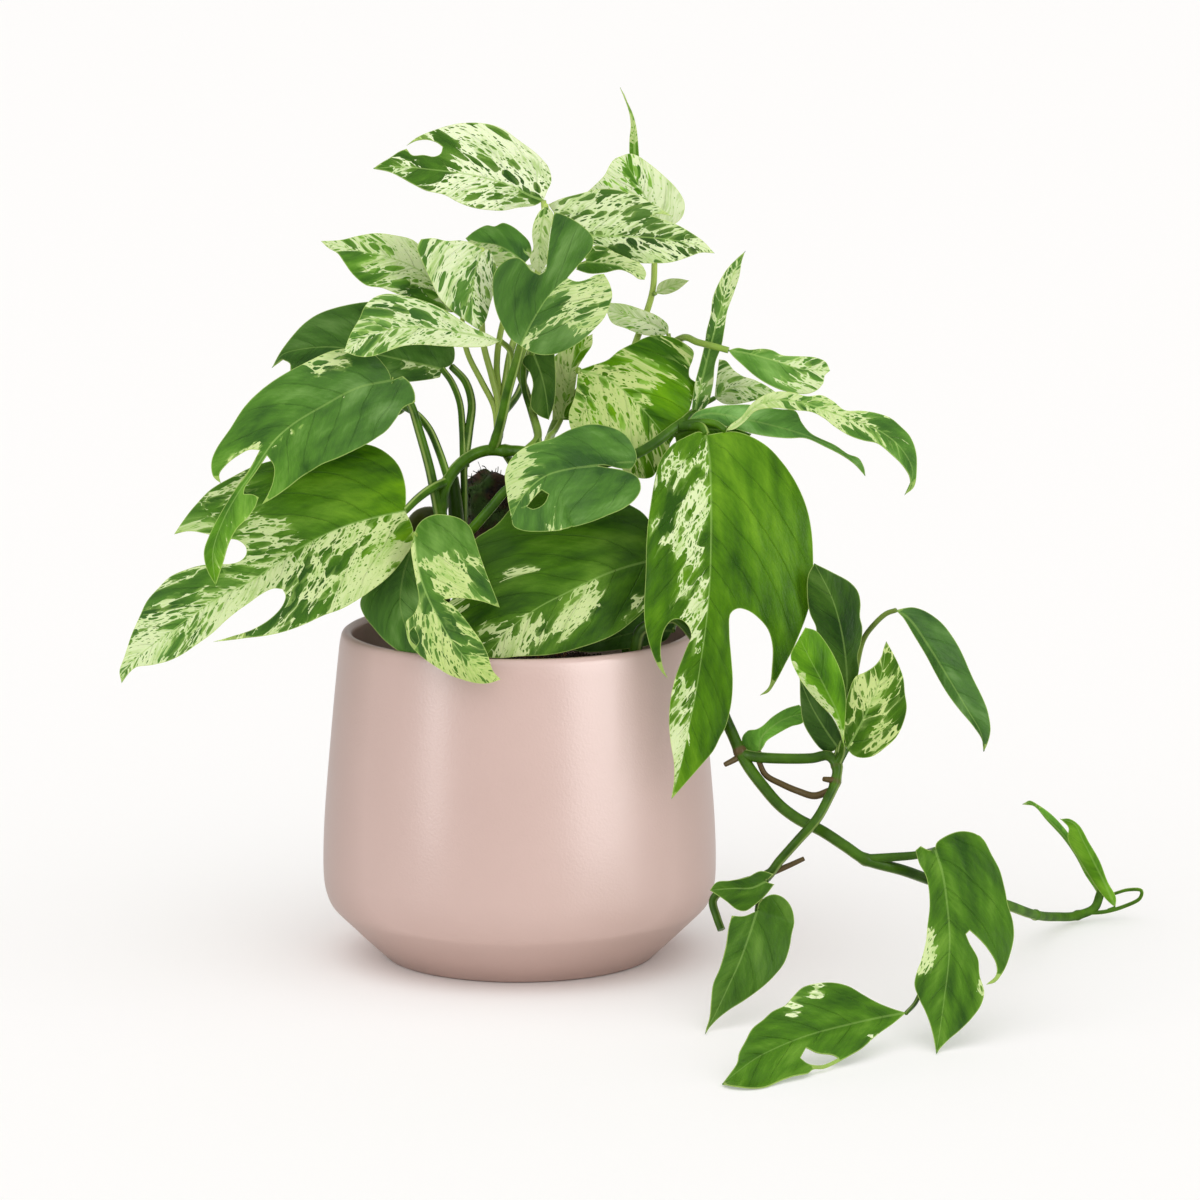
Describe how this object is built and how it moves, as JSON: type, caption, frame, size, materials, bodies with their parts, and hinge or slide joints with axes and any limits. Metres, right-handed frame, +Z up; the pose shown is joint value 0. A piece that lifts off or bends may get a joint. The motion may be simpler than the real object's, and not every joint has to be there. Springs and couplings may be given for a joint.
{
  "type": "potted trailing houseplant",
  "caption": "Variegated trailing houseplant with cut, marbled leaves and a long vine, in a filled round matte pot with a tapered foot",
  "frame": {"origin": "On the resting plane, at the centre of the pot's round foot.", "axes": "+Z up along the pot's axis, +X to the right of the picture and +Y away from the camera, so the vine trails to +X."},
  "size_m": [0.4407, 0.3476, 0.3731],
  "materials": {
    "pot": "matte dusty pink",
    "soil": "damp crumbly potting mix",
    "coir": "rough brown fibre",
    "stem": "smooth green stem",
    "leaf": "satin green leaf marbled with cream"
  },
  "bodies": {
    "root": {"pot": "pot", "soil": "soil", "coir_stake": "coir", "crown_stems": "stem", "low_right_stems": "stem", "trailing_vine": "stem", "leaf_top_left": "leaf", "leaf_top_right": "leaf", "leaf_back_top": "leaf", "leaf_rolled": "leaf", "leaf_upright_strip": "leaf", "leaf_under_top_right": "leaf", "leaf_upper_left": "leaf", "leaf_upper_middle": "leaf", "leaf_crown_back": "leaf", "leaf_left_marbled": "leaf", "leaf_left_dark": "leaf", "leaf_left_large": "leaf", "leaf_left_front": "leaf", "leaf_rim_left": "leaf", "leaf_front_fold": "leaf", "leaf_front_dark": "leaf", "leaf_front_low": "leaf", "leaf_under_low": "leaf", "leaf_largest": "leaf", "leaf_right_marbled": "leaf", "leaf_centre_strip": "leaf", "leaf_centre_dark": "leaf", "leaf_centre_heart": "leaf", "leaf_right_pale": "leaf", "leaf_small_right": "leaf", "leaf_right_wing": "leaf", "leaf_upright_right": "leaf", "leaf_right_behind": "leaf", "leaf_right_long": "leaf", "leaf_right_curved": "leaf", "leaf_behind_largest": "leaf", "leaf_trail_tall": "leaf", "leaf_trail_light": "leaf", "leaf_trail_dark": "leaf", "leaf_trail_marbled": "leaf", "leaf_trail_curled": "leaf", "leaf_trail_far": "leaf", "leaf_ground_folded": "leaf", "leaf_ground_heart": "leaf", "leaf_ground_cut": "leaf", "leaf_ground_lobed": "leaf", "leaf_young_long": "leaf", "leaf_young_short": "leaf", "leaf_far_low_right": "leaf", "leaf_far_low_left": "leaf", "leaf_far_middle": "leaf", "leaf_far_high": "leaf", "leaf_far_right": "leaf", "leaf_far_left": "leaf"}
  },
  "joints": []
}
